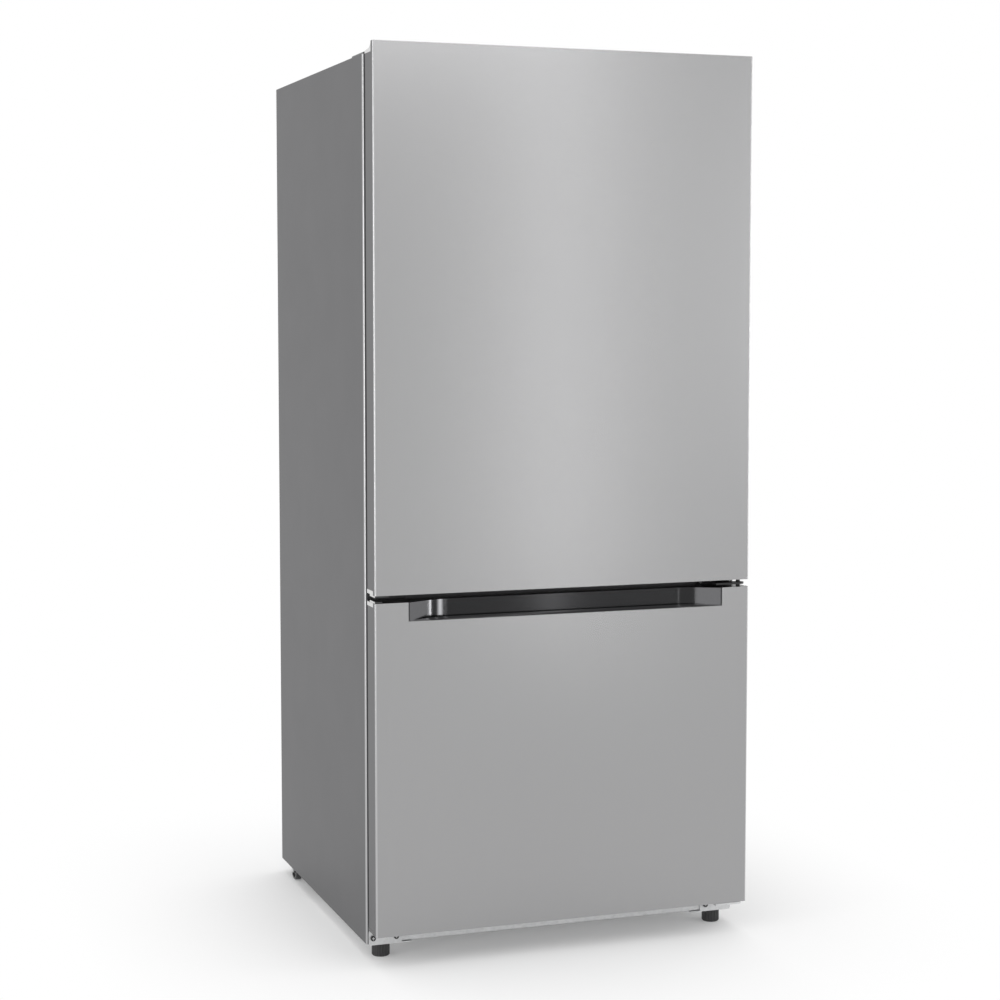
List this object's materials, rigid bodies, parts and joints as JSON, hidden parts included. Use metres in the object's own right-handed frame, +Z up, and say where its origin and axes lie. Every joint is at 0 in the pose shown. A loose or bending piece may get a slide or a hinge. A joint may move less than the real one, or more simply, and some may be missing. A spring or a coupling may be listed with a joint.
{
  "type": "bottom freezer refrigerator",
  "caption": "Tall free-standing refrigerator: fresh-food door above, freezer door with a recessed grip below, shelves, drawers and bins inside, machine room behind.",
  "frame": {"origin": "on the floor under the middle of the whole body", "axes": "+Z up, -Y towards the person opening the doors, +X to that person's right"},
  "size_m": [0.75, 0.76, 1.69],
  "materials": {
    "stainless": "brushed vertically, satin",
    "cabinet_paint": "dark grey, fine texture, satin",
    "back_paint": "zinc grey, satin",
    "zinc_steel": "galvanised",
    "dark_steel": "black, semi-gloss",
    "silver_plastic": "light silver, moulded",
    "grey_plastic": "dark grey, glossy",
    "cap_plastic": "dark grey, light side faces",
    "pocket_plastic": "dark metallic grey, lacquered",
    "black_plastic": "black, moulded",
    "white_liner": "white, vacuum formed",
    "white_plastic": "white, moulded",
    "clear_plastic": "clear, moulded",
    "frosted_plastic": "frosted lamp lens",
    "shelf_glass": "clear, polished edges",
    "gasket": "dark grey, soft",
    "rubber": "black, matt",
    "foam": "rigid foam",
    "aluminium": "mill finish fins"
  },
  "bodies": {
    "cabinet": {"side_panel_left": "cabinet_paint", "side_panel_right": "cabinet_paint", "top_panel": "cabinet_paint", "back_panel": "back_paint", "bottom_panel": "zinc_steel", "centre_rail": "cabinet_paint", "fridge_liner": "white_liner", "freezer_liner": "white_liner", "insulation_foam": "foam", "top_hinge": "zinc_steel", "middle_hinge": "dark_steel", "bottom_hinge": "zinc_steel", "bottom_bracket_left": "zinc_steel", "hinge_screws": "dark_steel", "top_hinge_cover": "grey_plastic", "hinge_hole_covers": "grey_plastic", "roller_axles": "zinc_steel", "compressor_tray": "zinc_steel", "compressor_grommets": "rubber", "compressor": "dark_steel", "condenser_coil": "dark_steel", "condenser_fan_motor": "dark_steel", "drip_tray": "black_plastic", "machine_cover": "back_paint", "power_inlet": "black_plastic", "wall_spacers": "black_plastic", "freezer_duct_cover": "white_plastic", "evaporator": "aluminium", "fridge_air_duct": "white_plastic", "control_box": "white_plastic", "light_cover": "frosted_plastic", "shelf_trims": "white_plastic", "glass_shelves": "shelf_glass"},
    "fridge_door": {"fridge_door_panel": "stainless", "fridge_door_top_cap": "silver_plastic", "fridge_door_bottom_cap": "cap_plastic", "fridge_door_liner": "white_liner", "fridge_door_foam": "foam", "fridge_door_gasket": "gasket", "door_bins": "clear_plastic", "dairy_bin": "clear_plastic"},
    "freezer_door": {"freezer_door_panel": "stainless", "handle_pocket": "pocket_plastic", "freezer_door_top_cap": "cap_plastic", "freezer_door_bottom_cap": "grey_plastic", "freezer_door_liner": "white_liner", "freezer_door_foam": "foam", "freezer_door_gasket": "gasket"},
    "dairy_cover": {"dairy_cover": "clear_plastic"},
    "crisper_left": {"crisper_left": "clear_plastic"},
    "crisper_right": {"crisper_right": "clear_plastic"},
    "freezer_drawer_upper": {"freezer_drawer_upper": "clear_plastic"},
    "freezer_drawer_lower": {"freezer_drawer_lower": "clear_plastic"},
    "temperature_knob": {"temperature_knob": "grey_plastic"},
    "evaporator_fan": {"evaporator_fan": "black_plastic"},
    "condenser_fan": {"condenser_fan": "black_plastic"},
    "roller_left": {"roller_left": "black_plastic"},
    "roller_right": {"roller_right": "black_plastic"},
    "foot_left": {"foot_left": "black_plastic"},
    "foot_right": {"foot_right": "black_plastic"}
  },
  "joints": [
    {"name": "fridge_door_hinge", "type": "hinge", "parent": "cabinet", "child": "fridge_door", "pos_m": [0.36, -0.364, 1], "axis": [0, 0, 1], "range_deg": [0, 120]},
    {"name": "freezer_door_hinge", "type": "hinge", "parent": "cabinet", "child": "freezer_door", "pos_m": [0.36, -0.364, 0.4], "axis": [0, 0, 1], "range_deg": [0, 120]},
    {"name": "dairy_cover_hinge", "type": "hinge", "parent": "fridge_door", "child": "dairy_cover", "pos_m": [0, -0.321, 1.496], "axis": [1, 0, 0], "range_deg": [0, 70]},
    {"name": "crisper_left_slide", "type": "slide", "parent": "cabinet", "child": "crisper_left", "axis": [0, -1, 0], "range_m": [0, 0.048]},
    {"name": "crisper_right_slide", "type": "slide", "parent": "cabinet", "child": "crisper_right", "axis": [0, -1, 0], "range_m": [0, 0.048]},
    {"name": "freezer_drawer_upper_slide", "type": "slide", "parent": "cabinet", "child": "freezer_drawer_upper", "axis": [0, -1, 0], "range_m": [0, 0.06]},
    {"name": "freezer_drawer_lower_slide", "type": "slide", "parent": "cabinet", "child": "freezer_drawer_lower", "axis": [0, -1, 0], "range_m": [0, 0.06]},
    {"name": "temperature_knob_turn", "type": "hinge", "parent": "cabinet", "child": "temperature_knob", "pos_m": [0.062, -0.205, 1.596], "axis": [0, -1, 0], "range_deg": [-135, 135]},
    {"name": "evaporator_fan_spin", "type": "hinge", "parent": "cabinet", "child": "evaporator_fan", "pos_m": [0, 0.176, 0.575], "axis": [0, 1, 0], "continuous": true},
    {"name": "condenser_fan_spin", "type": "hinge", "parent": "cabinet", "child": "condenser_fan", "pos_m": [0.06, 0.236, 0.1], "axis": [1, 0, 0], "continuous": true},
    {"name": "roller_left_roll", "type": "hinge", "parent": "cabinet", "child": "roller_left", "pos_m": [-0.361, 0.278, 0.022], "axis": [1, 0, 0], "continuous": true},
    {"name": "roller_right_roll", "type": "hinge", "parent": "cabinet", "child": "roller_right", "pos_m": [0.361, 0.278, 0.022], "axis": [1, 0, 0], "continuous": true},
    {"name": "foot_left_turn", "type": "hinge", "parent": "cabinet", "child": "foot_left", "pos_m": [-0.341, -0.291, 0.01], "axis": [0, 0, 1], "continuous": true},
    {"name": "foot_right_turn", "type": "hinge", "parent": "cabinet", "child": "foot_right", "pos_m": [0.341, -0.291, 0.01], "axis": [0, 0, 1], "continuous": true}
  ]
}
